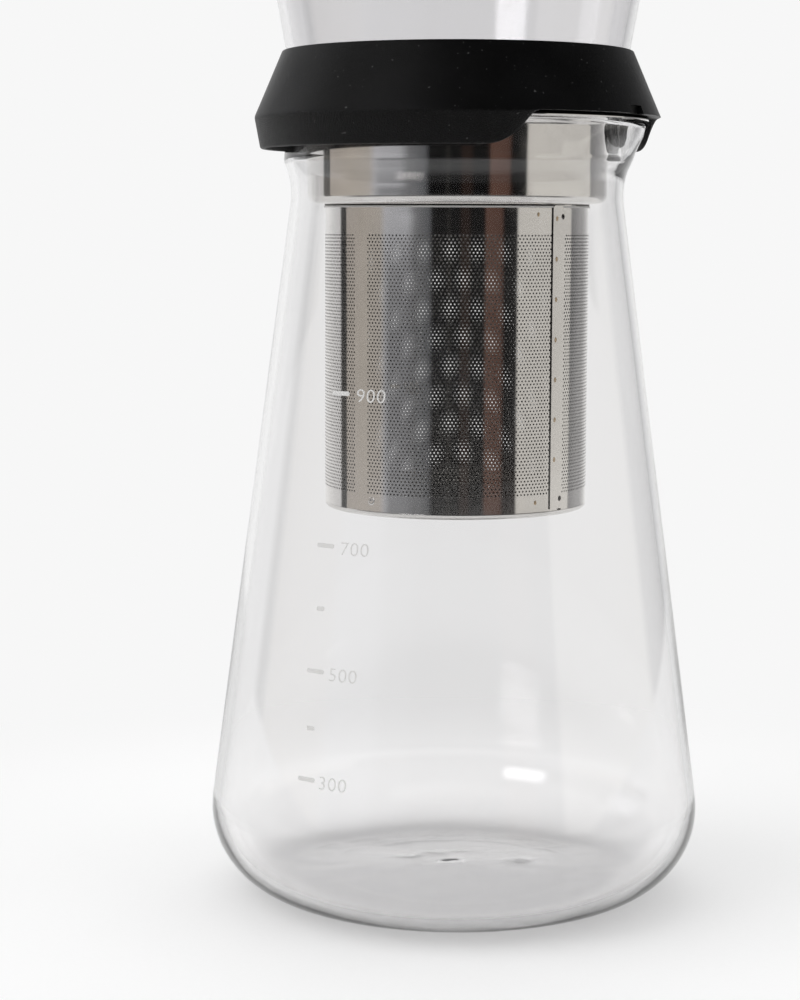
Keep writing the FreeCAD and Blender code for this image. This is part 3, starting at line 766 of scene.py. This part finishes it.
for height, drilled in zip(PILOT_HEIGHTS, ((lap, sleeve_head, ring), (lap, sleeve_foot, dish))):
    let_go()
    a = math.radians(PILOT_ANGLE)
    spot = SLEEVE_R * math.cos(a) * MM, SLEEVE_R * math.sin(a) * MM, height * MM
    bpy.ops.mesh.primitive_cylinder_add(vertices=24, radius=PILOT_R * MM, depth=DRILL_LENGTH * MM, location=spot,
                                        rotation=(0, math.pi / 2, a))
    drill = bpy.context.object
    for piece in drilled:
        cut(piece, drill)
        smooth(piece, 30)
        print(piece.name, "drilled:", triangles(piece), "triangles")
    bpy.data.objects.remove(drill)

# %% [markdown]
# ## The joint below the ring
# Where the sleeve meets the ring's shelf, its edge stands out as a thin, dull hem. Above the hem a thin ring of
# near-black steel is painted shadow: it stands for the shade in the joint. Both are small closed sections, spun
# like the ring.

# %% Spin the hem and the joint
HEM_FOOT, HEM_HEAD, HEM_SINK = SLEEVE_TOP - 0.62, SLEEVE_TOP - 0.2, 0.1

# the second ring is painted shadow, a near-black ring where the joint lies in shade
for name, reach, foot, head, material in (("sleeve_hem", 0.22, HEM_FOOT, HEM_HEAD, strainer_inside),
                                          ("sleeve_joint_painted_shadow", 0.08, HEM_HEAD, CUP_Z, painted_joint_shadow)):
    inner, outer = SLEEVE_R - HEM_SINK, SLEEVE_R + reach
    corners = [(inner, foot, 0), (outer, foot, 0.06), (outer, head, 0.06), (inner, head, 0)]
    edge_ring = turn_section(name, corners, steps=216, step=1, bend=20)
    smooth(edge_ring, 50)
    finish_piece(edge_ring, "strainer", material)

# %% [markdown]
# ## Spot welds
# The seam is tacked with a row of spot welds, and more of them join the sleeve to the ring and to the dish.
# Each is a tiny flat dome with a pressed-in crown, in steel that the heat has tinted straw brown; only the
# large one at the foot stays bright. One is shaped and copied, and each copy is turned to its own direction.

# %% Make the spot welds
def weld_dome(wide, tall, rise):
    """A flat dome that faces +X at the origin, with a dent in its crown."""
    let_go()
    bpy.ops.mesh.primitive_uv_sphere_add(segments=24, ring_count=12, radius=1, rotation=(0, math.pi / 2, 0))
    dome = settle(scale=(tall / 2 * MM, wide / 2 * MM, rise * MM))
    pick(dome, lambda p: p.x > rise * 0.9 * MM)
    bpy.ops.transform.translate(value=(-rise * 0.7 * MM, 0, 0))
    done()
    return dome


def weld_marks(name, dome, spots, material):
    """Copies of a dome at (direction, height, radius), joined into one piece."""
    let_go()
    copies = []
    for angle, height, radius in spots:
        spot = twin(dome)
        a = math.radians(angle)
        spot.data.transform(Matrix.Translation((radius * math.cos(a) * MM, radius * math.sin(a) * MM, height * MM))
                            @ Matrix.Rotation(a, 4, "Z"))
        copies.append(spot)
    bpy.data.objects.remove(dome)
    for spot in copies:
        spot.select_set(True)
    bpy.context.view_layer.objects.active = copies[0]
    if len(copies) > 1:
        bpy.ops.object.join()
    marks = bpy.context.object
    marks.name = marks.data.name = name
    smooth(marks, 50)
    finish_piece(marks, "strainer", material)


SEAM_INSET, SEAM_TOP, SEAM_STEP = 2.2, 157.5, 8.95
LAP_TOP_R = SLEEVE_R + SLEEVE_SHEET * (1 - SEAM_INSET / LAP_RUN)
seam_spots = [(LAP_ANGLE + SEAM_INSET, SEAM_TOP - SEAM_STEP * k, LAP_TOP_R) for k in range(7)]
side_spots = [(a, z, SLEEVE_R) for a in (-26.0, -176.0, 110.0, 36.0) for z in (158.4, 94.4)]
weld_marks("seam_welds", weld_dome(0.8, 1.15, 0.06), seam_spots, weld_straw)
weld_marks("ring_welds", weld_dome(0.7, 1.0, 0.05), side_spots, weld_straw)
weld_marks("disc_weld", weld_dome(1.8, 1.8, 0.09), [(-99.5, 94.5, SLEEVE_R)], strainer_steel)

# %% [markdown]
# ## The collar
# A satin black moulding: an upright band round the neck, a crease, a cone up to the bowl, and inside a ledge
# that carries the bowl. It is spun from one closed section with small rounded edges, as a mould would leave.

# %% Spin the collar
BAND_BORE, BAND_R, BAND_Z = 44.2, 45.3, 173.3
CREASE_R, CREASE_Z, CREASE_LAND = 46.55, 180.05, 0.6
CROWN_R, CROWN_Z, CROWN_BORE, CROWN_LAND = 40.2, 195.4, 39.5, 2.9
LEDGE_R, LEDGE_Z, LEDGE_RISE, CONE_BORE = 34.4, 180.6, 2.0, 43.9
CHAMFER, CHAMFER_DROP = 0.9, 1.15
BEARER_R, BEARER_FOOT, BEARER_WALL = 38.0, FLANGE_Z + SHEET + 0.1, 2.0
LEDGE_TOP, BEARER_OUT = LEDGE_Z + LEDGE_RISE, BEARER_R + BEARER_WALL

collar = turn_section("collar_ring", [
    (BAND_BORE, BAND_Z, 0.3), (BAND_R, BAND_Z, 0.6), (CREASE_R, CREASE_Z, 0.25),
    (CREASE_R, CREASE_Z + CREASE_LAND, 0.5), (CROWN_R, CROWN_Z, 0.35), (CROWN_BORE, CROWN_Z, 0.25),
    (CROWN_BORE, CROWN_Z - CROWN_LAND, 0.3), (CONE_BORE, LEDGE_TOP, 0.5), (LEDGE_R + CHAMFER, LEDGE_TOP, 0.25),
    (LEDGE_R, LEDGE_TOP - CHAMFER_DROP, 0.25), (LEDGE_R, LEDGE_Z, 0.25), (BEARER_R, LEDGE_Z, 0.1),
    (BEARER_R, BEARER_FOOT, 0.1), (BEARER_OUT, BEARER_FOOT, 0.1), (BEARER_OUT, LEDGE_Z, 0.1),
    (BAND_BORE, LEDGE_Z, 0.3),
], steps=360, step=1.2, bend=20)

# %% [markdown]
# ## The window over the lip
# Round the pouring lip the band is cut away, with sloped ends and soft corners. A Boolean would leave ragged
# triangles along the slope, so the band is shortened instead: every vertex below the ledge moves up in
# proportion, to a lower edge that follows the window's outline.

# %% Shorten the band over the lip
WINDOW_TOP, WINDOW_FOOT = 27.5, 32.0
WINDOW_Z = LEDGE_Z - 0.05


def window_edge(y):
    """Height of the band's lower edge on the lip's side, at a distance from the lip's middle, in millimetres."""
    share = (np.abs(y) - WINDOW_TOP) / (WINDOW_FOOT - WINDOW_TOP)
    soft, sweep = 0.22, 0.62
    fall = np.clip(share, 0, 1)
    fall = np.where(np.abs(share) < soft, (share + soft) ** 2 / (4 * soft), fall)
    fall = np.where(np.abs(share - 1) < sweep, 1 - (1 + sweep - share) ** 2 / (4 * sweep), fall)
    return WINDOW_Z - (WINDOW_Z - BAND_Z) * fall


co = places(collar)
edge = np.where(co[:, 0] > 0, window_edge(co[:, 1] / MM), BAND_Z)
below = (co[:, 2] / MM < LEDGE_Z) & (np.hypot(co[:, 0], co[:, 1]) > (BAND_BORE - 0.35) * MM)
share = (co[:, 2] / MM - BAND_Z) / (LEDGE_Z - BAND_Z)
co[below, 2] = (edge + share * (LEDGE_Z - edge))[below] * MM
place(collar, co)
clean(collar, 2e-6)
print("window:", np.count_nonzero(below & (edge > BAND_Z)), "vertices moved up")

# %% [markdown]
# ## Notch the collar and turn it
# A small notch at the crease shows which side belongs over the lip, and a block cuts it out. The collar lies
# loose on the strainer, so it is turned by a few degrees, as a hand would leave it.

# %% Cut the notch and turn the collar
NOTCH_R, NOTCH_RISE, NOTCH_SIZE = 47.4, 0.4, (5.0, 5.3, 2.8)
COLLAR_TURN = -3.0

let_go()
bpy.ops.mesh.primitive_cube_add(size=1, location=(NOTCH_R * MM, 0, (LEDGE_Z + NOTCH_RISE) * MM))
notch = settle(scale=[side * MM for side in NOTCH_SIZE])
cut(collar, notch)
bpy.data.objects.remove(notch)
hold(collar)
collar.rotation_euler.z = math.radians(COLLAR_TURN)
settle()
smooth(collar, 38)
finish_piece(collar, "collar", collar_black, ["collar"])

# %% [markdown]
# ## The lid
# A plain moulded lid with a dished top and a skirt outside the bowl's rim, and a small air vent so that the
# bowl can drip. The section is spun and the vent drilled.

# %% Spin and drill the lid
LID_Z, LID_R, LID_TOP, LID_TOP_R, LID_UNDER, PLATE = 287.0, 59.0, 296.5, 58.6, 292.6, 2.0
LID_RING_R, LID_RING_Z, LID_RING_WALL, SKIRT_WALL = 53.2, 286.0, 1.6, 1.5
LAND, LAND_SLOPE = 5.0, 2.0
VENT_R, VENT_X, VENT_Z, VENT_DRILL = 1.5, 34.0, 293.5, 8.0

lid = turn_section("bowl_lid", [
    (0, LID_UNDER + PLATE, 0), (0, LID_UNDER, 0), (LID_RING_R - LID_RING_WALL, LID_UNDER, 0.4),
    (LID_RING_R - LID_RING_WALL, LID_RING_Z, 0.4), (LID_RING_R, LID_RING_Z, 0.4), (LID_RING_R, LID_UNDER, 0.2),
    (LID_TOP_R - SKIRT_WALL, LID_UNDER, 0.4), (LID_R - SKIRT_WALL, LID_Z, 0.35), (LID_R, LID_Z, 0.35),
    (LID_TOP_R, LID_TOP, 1.2), (LID_TOP_R - LAND, LID_TOP, 0.6),
    (LID_TOP_R - LAND - LAND_SLOPE, LID_UNDER + PLATE, 1.2),
], steps=192, bend=12)
let_go()
bpy.ops.mesh.primitive_cylinder_add(vertices=32, radius=VENT_R * MM, depth=VENT_DRILL * MM,
                                    location=(VENT_X * MM, 0, VENT_Z * MM))
vent = bpy.context.object
cut(lid, vent)
bpy.data.objects.remove(vent)
smooth(lid, 38)
finish_piece(lid, "lid", lid_black, ["lid"])

# %% [markdown]
# ## Nozzle and seal
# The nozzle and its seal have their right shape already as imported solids, so they only take their finish.

# %% Dress the nozzle and the seal
for node, material in (("drip_nozzle", lid_black), ("nozzle_seal", seal_silicone)):
    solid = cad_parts[node]
    solid.data.materials.clear()
    solid.data.materials.append(material)
    print(node, "dressed in", material.name)

# %% [markdown]
# ## The scale
# A stroke and a number are fired on the glass for every second hundred millilitres, with a short stroke
# between. They are thin shapes drawn flat and wrapped on the cone: along the stroke becomes a direction, and
# up becomes a height on the slope.

# %% Helpers: strokes, numbers and how they are wrapped
INK, INK_GAP = 0.03, 0.02
CAP_HEIGHT, THINNER, SPACING = 0.72, -0.035, 1.06  # of the typeface: capitals, stroke offset and gaps


def wrap(piece, angle, height):
    """Wrap a flat shape, drawn in x and y with its thickness in z, on the decanter's cone."""
    co = places(piece)
    z = height + co[:, 1] / MM * math.cos(math.atan(TAPER))
    r = cone_r(z) + INK_GAP + co[:, 2] / MM
    a = math.radians(angle) + co[:, 0] / MM / r
    place(piece, np.stack([r * np.cos(a) * MM, r * np.sin(a) * MM, z * MM], axis=1))


def stroke(name, width, tall):
    """A stroke with round ends, centred, as a thin slab."""
    let_go()
    bpy.ops.mesh.primitive_cube_add(size=1, location=(0, 0, INK / 2 * MM))
    mark = settle(name, (width * MM, tall * MM, INK * MM))
    pick(mark, lambda p: abs(abs(p.x) - width / 2 * MM) < 1e-6 and abs(abs(p.y) - tall / 2 * MM) < 1e-6, "EDGE")
    bpy.ops.mesh.bevel(offset=tall * 0.42 * MM, offset_type="OFFSET", segments=4)
    done()
    cut_columns(mark, -width / 2, width, 4)
    return mark


def number_mark(text, tall, wide):
    """A number of a given height and width, drawn flat with its left end at zero."""
    let_go()
    bpy.ops.object.text_add(location=(0, 0, 0))
    mark = bpy.context.object
    mark.data.body = text
    mark.data.size = tall / CAP_HEIGHT * MM
    mark.data.extrude = INK / 2 * MM
    mark.data.offset = THINNER * MM
    mark.data.space_character = SPACING
    mark.data.resolution_u = 5
    bpy.ops.object.convert(target="MESH")
    mark = bpy.context.object
    mark.name = mark.data.name = "scale_" + text
    co = places(mark)
    low, high = co.min(axis=0), co.max(axis=0)
    co[:, 0] = (co[:, 0] - low[0]) * wide * MM / (high[0] - low[0])
    co[:, 1] = (co[:, 1] - (low[1] + high[1]) / 2) * tall * MM / (high[1] - low[1])
    co[:, 2] -= low[2]
    place(mark, co)
    return mark


# %% [markdown]
# ## Fire the scale on the glass
# Each row of the scale has a text, a height and the direction in which its number starts. The stroke of the
# highest number stands a little further round than the others.

# %% Print the scale on the glass
LONG, SHORT, THICK = 4.7, 2.2, 0.98
DIGITS_TALL, DIGITS_WIDE, DIGITS_LOWER = 2.85, 6.9, 0.3
STROKE_ANGLE, TOP_STROKE_ANGLE = -97.25, -96.4
SCALE = (("300", 35.7, -93.6), ("", 46.8, 0), ("500", 59.2, -93.05), ("", 72.8, 0), ("700", 86.5, -92.35),
         ("900", 119.6, -90.8))

for count, (text, height, number_from) in enumerate(SCALE):
    mark = stroke(f"scale_stroke_{count + 1}", LONG if text else SHORT, THICK)
    wrap(mark, TOP_STROKE_ANGLE if text == "900" else STROKE_ANGLE, height)
    clean(mark, 1e-7)
    finish_piece(mark, "decanter", scale_enamel)
    if text:
        digits = number_mark(text, DIGITS_TALL, DIGITS_WIDE)
        wrap(digits, number_from, height - DIGITS_LOWER)
        finish_piece(digits, "decanter", scale_enamel)

# %% [markdown]
# ## The studio
# The brewer stands on a plain pale floor in a white room. Bright metal and glass only look like themselves
# when they have something to mirror. So what they mirror is a room of its own, given by direction: white
# behind the brewer, tall pale panels at its sides, and a dim space between them on the viewer's side. Matt
# surfaces get an even light, and the eye sees plain white, a little less bright through glass.

# %% Tones of the room, by direction
CAMERA_AT = 29.7  # degrees from -Y towards +X
SEEN_PLAIN, SEEN_THROUGH, EVEN_LIGHT, PANEL_POWER = 0.931, 0.845, 0.74, 6.2
DIM, COPPER = (0.005, 0.005, 0.0052), (0.024, 0.015, 0.012)
WINDOWS = (  # at eye level: degrees from the viewer, and a tone
    (-180, 0.93), (-150, 0.93), (-120, (0.72, 0.72, 0.73)), (-119, 0.03), (-111, 0.03), (-110, (0.46, 0.42, 0.38)),
    (-88, (0.50, 0.46, 0.41)), (-70, (0.50, 0.465, 0.425)), (-64, (0.56, 0.57, 0.60)), (-44, (0.49, 0.50, 0.53)),
    (-37, (0.21, 0.215, 0.225)), (-25, (0.12, 0.125, 0.135)), (-21, DIM), (-9, DIM), (-8, (0.035, 0.033, 0.03)),
    (-6, DIM), (1, DIM), (3, COPPER), (9, COPPER), (11, DIM), (22, DIM), (24, (0.125, 0.070, 0.054)),
    (37, (0.105, 0.058, 0.045)), (40, DIM), (51, 0.02), (52.5, (0.73, 0.71, 0.67)), (115, (0.75, 0.735, 0.70)),
    (117, (0.24, 0.24, 0.245)), (140, (0.44, 0.44, 0.445)), (160, 0.93), (180, 0.93))
BELOW_WINDOWS = (-68, 1.0), (-60, 0.5), (-42, 0.5), (-34, 1.0)
RAISED = ((-180, 0.92), (-120, 0.88), (-99, 0.80), (-95, 0.05), (0, 0.02), (80, 0.02), (110, 0.15), (145, 0.35),
          (180, 0.92))
PANELS = ((-180, 0.7), (-122, 0.6), (-120, 1.7), (-101, 1.7), (-98, 0.12), (-54, 0.06), (-49, 6.2), (-32, 6.2),
          (-27, 0.04), (80, 0.03), (110, 0.12), (145, 0.3), (180, 0.7))
CEILING = ((-180, 0.68), (-65, 0.62), (-35, 0.16), (0, 0.06), (60, 0.02), (110, 0.05), (145, 0.25), (180, 0.55))
print("room has", sum(len(ring) for ring in (WINDOWS, BELOW_WINDOWS, RAISED, PANELS, CEILING)), "tones")

# %% [markdown]
# ## Make the room
# The world's shader knows the direction in which a ray leaves. Turned to the viewer's side, its angle picks a
# tone from a ring of tones, and its height picks the ring.

# %% Light the room
def make_room():
    world = bpy.data.worlds.new("studio")
    bpy.context.scene.world = world
    world.use_nodes = True
    world.node_tree.nodes.clear()
    room = Tree(world.node_tree)
    turned = room.add("Mapping", Vector=room.add("TexCoord").outputs["Generated"],
                      Rotation=(0, 0, math.radians(90 - CAMERA_AT))).outputs["Vector"]
    split = room.add("SeparateXYZ", Vector=turned).outputs
    angle = room.sums("ARCTAN2", split["Y"], split["X"])
    round_room = room.sums("ADD", room.sums("DIVIDE", angle, 2 * math.pi), 0.5)
    up = room.sums("ADD", room.sums("MULTIPLY", split["Z"], 0.5), 0.5)

    def ring_of(tones):
        """A colour for each direction round the room."""
        ramp = room.add("ValToRGB", Fac=round_room)
        marks = ramp.color_ramp.elements
        for k, (degrees, tone) in enumerate(tones):
            at = degrees / 360 + 0.5
            mark = marks[k] if k < 2 else marks.new(at)
            mark.position, mark.color = at, colour(tone)
        return ramp.outputs[0]

    def shade(tone, strength=1.0):
        return room.add("Background", Color=tone, Strength=strength).outputs[0]

    panels = [(degrees, tuple(level / PANEL_POWER * part for part in (1, 1, 1.02))) for degrees, level in PANELS]
    low_share = room.sums("SUBTRACT", 1.0, room.spread(up, 0.485, 0.502, soft=True))
    eye_level = room.blend(low_share, ring_of(WINDOWS), ring_of(BELOW_WINDOWS), "MULTIPLY")
    above = room.shaders(room.spread(up, 0.73, 0.77, soft=True), shade(ring_of(panels), PANEL_POWER),
                         shade(ring_of(CEILING)))
    above = room.shaders(room.spread(up, 0.62, 0.66, soft=True), shade(ring_of(RAISED)), above)
    mirror_room = room.shaders(room.spread(up, 0.56, 0.59, soft=True), shade(eye_level), above)

    rays = room.add("LightPath").outputs
    unmirrored = room.sums("LESS_THAN", rays["Glossy Depth"], 0.5)
    through = room.sums("MULTIPLY", rays["Is Transmission Ray"], unmirrored)
    seen = room.sums("MAXIMUM", rays["Is Camera Ray"], through)
    mirrored = room.sums("MAXIMUM", rays["Is Glossy Ray"], rays["Is Transmission Ray"])
    plain = room.shaders(rays["Is Camera Ray"], shade(SEEN_THROUGH), shade(SEEN_PLAIN))
    unseen = room.shaders(mirrored, shade(1.0, EVEN_LIGHT), mirror_room)
    room.add("OutputWorld", Surface=room.shaders(seen, unseen, plain))
    print("room made with", len(room.tree.nodes), "nodes")


make_room()

# %% [markdown]
# ## The lamps
# Three large soft lamps, on both sides and behind, model the black collar and throw the soft shadow. Mirrors
# and glass don't see them, because they already have the panels of the room.

# %% Place the lamps
def soft_lamp(name, azimuth, elevation, distance, size, power):
    """A square lamp that looks at the brewer from a direction about the camera's own, in degrees."""
    let_go()
    a, e = math.radians(azimuth - 90 + CAMERA_AT), math.radians(elevation)
    centre = Vector((0, 0, 0.13))
    spot = centre + distance * Vector((math.cos(a) * math.cos(e), math.sin(a) * math.cos(e), math.sin(e)))
    bpy.ops.object.light_add(type="AREA", location=spot)
    lamp = bpy.context.object
    lamp.name = name
    lamp.data.size = size
    lamp.data.energy = power
    lamp.rotation_euler = (centre - spot).to_track_quat("-Z", "Y").to_euler()
    lamp.visible_glossy = lamp.visible_transmission = False
    print(name, "at", [round(v, 2) for v in spot])


soft_lamp("lamp_left", -70, 40, 1.4, 1.4, 8)
soft_lamp("lamp_right", 80, 35, 1.5, 1.4, 6)
soft_lamp("lamp_back", 175, 50, 1.5, 1.4, 4)

# %% [markdown]
# ## The floor
# A plain round floor. Near the brewer it is a real matt surface and keeps the soft shadow; further out it
# fades into the white of the room, so that no edge shows. What is mirrored of it is pale, and dim further out
# on the viewer's side, where the room is dim too.

# %% Lay the floor
FLOOR_R, FLOOR_Z = 0.7, -0.0001
FADE, DIM_FROM, DIM_SIDE = (0.07, 0.22), (0.28, 0.42), (-0.08, 0.08)  # metres from the brewer's axis
MIRROR_FROM = 0.13
to_camera = Vector((math.sin(math.radians(CAMERA_AT)), -math.cos(math.radians(CAMERA_AT)), 0))

let_go()
bpy.ops.mesh.primitive_circle_add(vertices=96, radius=FLOOR_R, fill_type="NGON", location=(0, 0, FLOOR_Z))
floor = settle("studio_floor")
matt = Finish("floor_white")
here, grain = matt.object_place(), matt.speckle(matt.object_place(), 900)
matt.set(Roughness=0.9, Specular_IOR_Level=0.0, Base_Color=matt.blend(grain, 0.90, 0.92))
rays = matt.add("LightPath").outputs
far = matt.add("VectorMath", operation="LENGTH", Vector=here).outputs["Value"]
before = matt.add("VectorMath", operation="DOT_PRODUCT", Vector=here)
before.inputs[1].default_value = to_camera
seen = matt.sums("MAXIMUM", rays["Is Camera Ray"], rays["Is Transmission Ray"])
faded = matt.sums("MULTIPLY", seen, matt.spread(far, *FADE, soft=True))
glow = matt.add("Emission", Color=matt.blend(rays["Is Camera Ray"], SEEN_THROUGH, SEEN_PLAIN)).outputs[0]
looked_at = matt.shaders(faded, matt.shader.outputs[0], glow)
dimmed = matt.sums("MULTIPLY", matt.spread(far, *DIM_FROM), matt.spread(before.outputs["Value"], *DIM_SIDE))
dull = matt.add("Emission", Color=matt.blend(dimmed, 0.80, 0.15)).outputs[0]
in_mirror = matt.sums("GREATER_THAN", rays["Glossy Depth"], 0.5)
far_in_mirror = matt.sums("MULTIPLY", in_mirror, matt.sums("GREATER_THAN", far, MIRROR_FROM))
matt.feed(matt.surface, matt.shaders(far_in_mirror, looked_at, dull))
floor.data.materials.append(matt.material)
print("floor laid, radius", FLOOR_R, "m")

# %% [markdown]
# ## The camera
# A long lens just below the height of the rim, turned a little down, with the lip to the right.

# %% Set up the camera
CAMERA_AWAY, CAMERA_LEFT, CAMERA_Z = 0.5446, 0.01294, 0.157
LENS, LOOK_DOWN, TILT = 84.15, 6.81, -0.17

let_go()
bpy.ops.object.camera_add()
camera = bpy.context.object
camera.name = "lesson_camera"
camera.data.sensor_width = 36.0
camera.data.lens = LENS
camera.data.dof.use_dof = False
camera.data.clip_start, camera.data.clip_end = 0.01, 20
to_right = Vector((-to_camera.y, to_camera.x, 0))
camera.location = to_camera * CAMERA_AWAY - to_right * CAMERA_LEFT + Vector((0, 0, CAMERA_Z))
pitch = math.radians(LOOK_DOWN)
look = -to_camera * math.cos(pitch) - Vector((0, 0, math.sin(pitch)))
tilt = Matrix.Rotation(math.radians(TILT), 4, look)
turn = look.to_track_quat("-Z", "Y").to_matrix().to_4x4()
camera.matrix_world = Matrix.Translation(camera.location) @ tilt @ turn
bpy.context.scene.camera = camera
print("camera at", [round(v, 4) for v in camera.location])
bpy.context.scene.view_settings.view_transform = "Standard"
